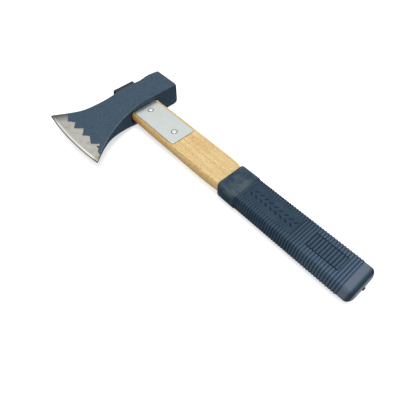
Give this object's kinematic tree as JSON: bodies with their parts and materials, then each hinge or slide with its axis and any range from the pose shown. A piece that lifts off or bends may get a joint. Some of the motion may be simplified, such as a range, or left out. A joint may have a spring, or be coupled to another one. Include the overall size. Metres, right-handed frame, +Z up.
{
  "type": "hatchet",
  "caption": "Short hatchet with a flared blade, square hammer poll, wedged wooden handle, riveted neck plates and a ribbed grip sleeve.",
  "frame": {"origin": "centre of the bottom of the bounding box, on the surface that the lower cheek rests on", "axes": "+X along the handle from the butt to the head, +Y towards the cutting edge, +Z up, square to the cheeks"},
  "size_m": [0.351, 0.1346, 0.026],
  "materials": {
    "painted_steel": "slate blue enamel over forged steel, bare ground edge",
    "wood": "lacquered pale hardwood",
    "wedge_wood": "plain hardwood wedge",
    "bare_steel": "plain steel",
    "zinc_plate": "bright zinc plated sheet",
    "grip": "soft moulded plastic, satin"
  },
  "bodies": {
    "root": {"axe_head": "painted_steel", "handle": "wood", "wood_wedge": "wedge_wood", "steel_wedge": "bare_steel", "neck_plate_upper": "zinc_plate", "neck_plate_lower": "zinc_plate", "neck_rivet_1": "zinc_plate", "neck_rivet_2": "zinc_plate", "grip_sleeve": "grip"}
  },
  "joints": []
}
